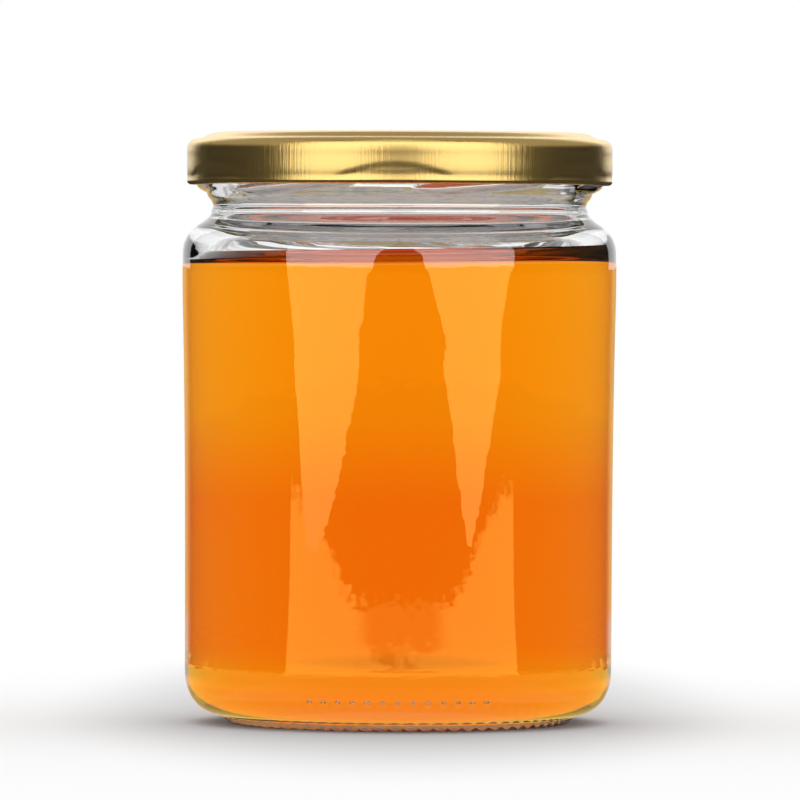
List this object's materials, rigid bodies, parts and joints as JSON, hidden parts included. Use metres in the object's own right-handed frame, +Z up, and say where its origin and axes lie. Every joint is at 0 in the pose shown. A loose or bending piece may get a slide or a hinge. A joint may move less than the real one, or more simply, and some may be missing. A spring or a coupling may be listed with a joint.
{
  "type": "jar of honey",
  "caption": "Shut clear glass jar of amber honey with a gold twist-off metal lid, short threads and a stippled foot ring.",
  "frame": {"origin": "centre of the foot, on the surface the jar stands on", "axes": "+Z up along the jar's axis, -Y towards the shown front, +X to the right of the shown front"},
  "size_m": [0.0876, 0.0876, 0.1191],
  "materials": {
    "clear_glass": "smooth clear pressed glass",
    "honey": "clear amber liquid with a faint cloudiness",
    "gold_lid": "satin gold lacquer on sheet metal"
  },
  "bodies": {
    "root": {"glass_jar": "clear_glass", "honey": "honey", "lid": "gold_lid"}
  },
  "joints": []
}
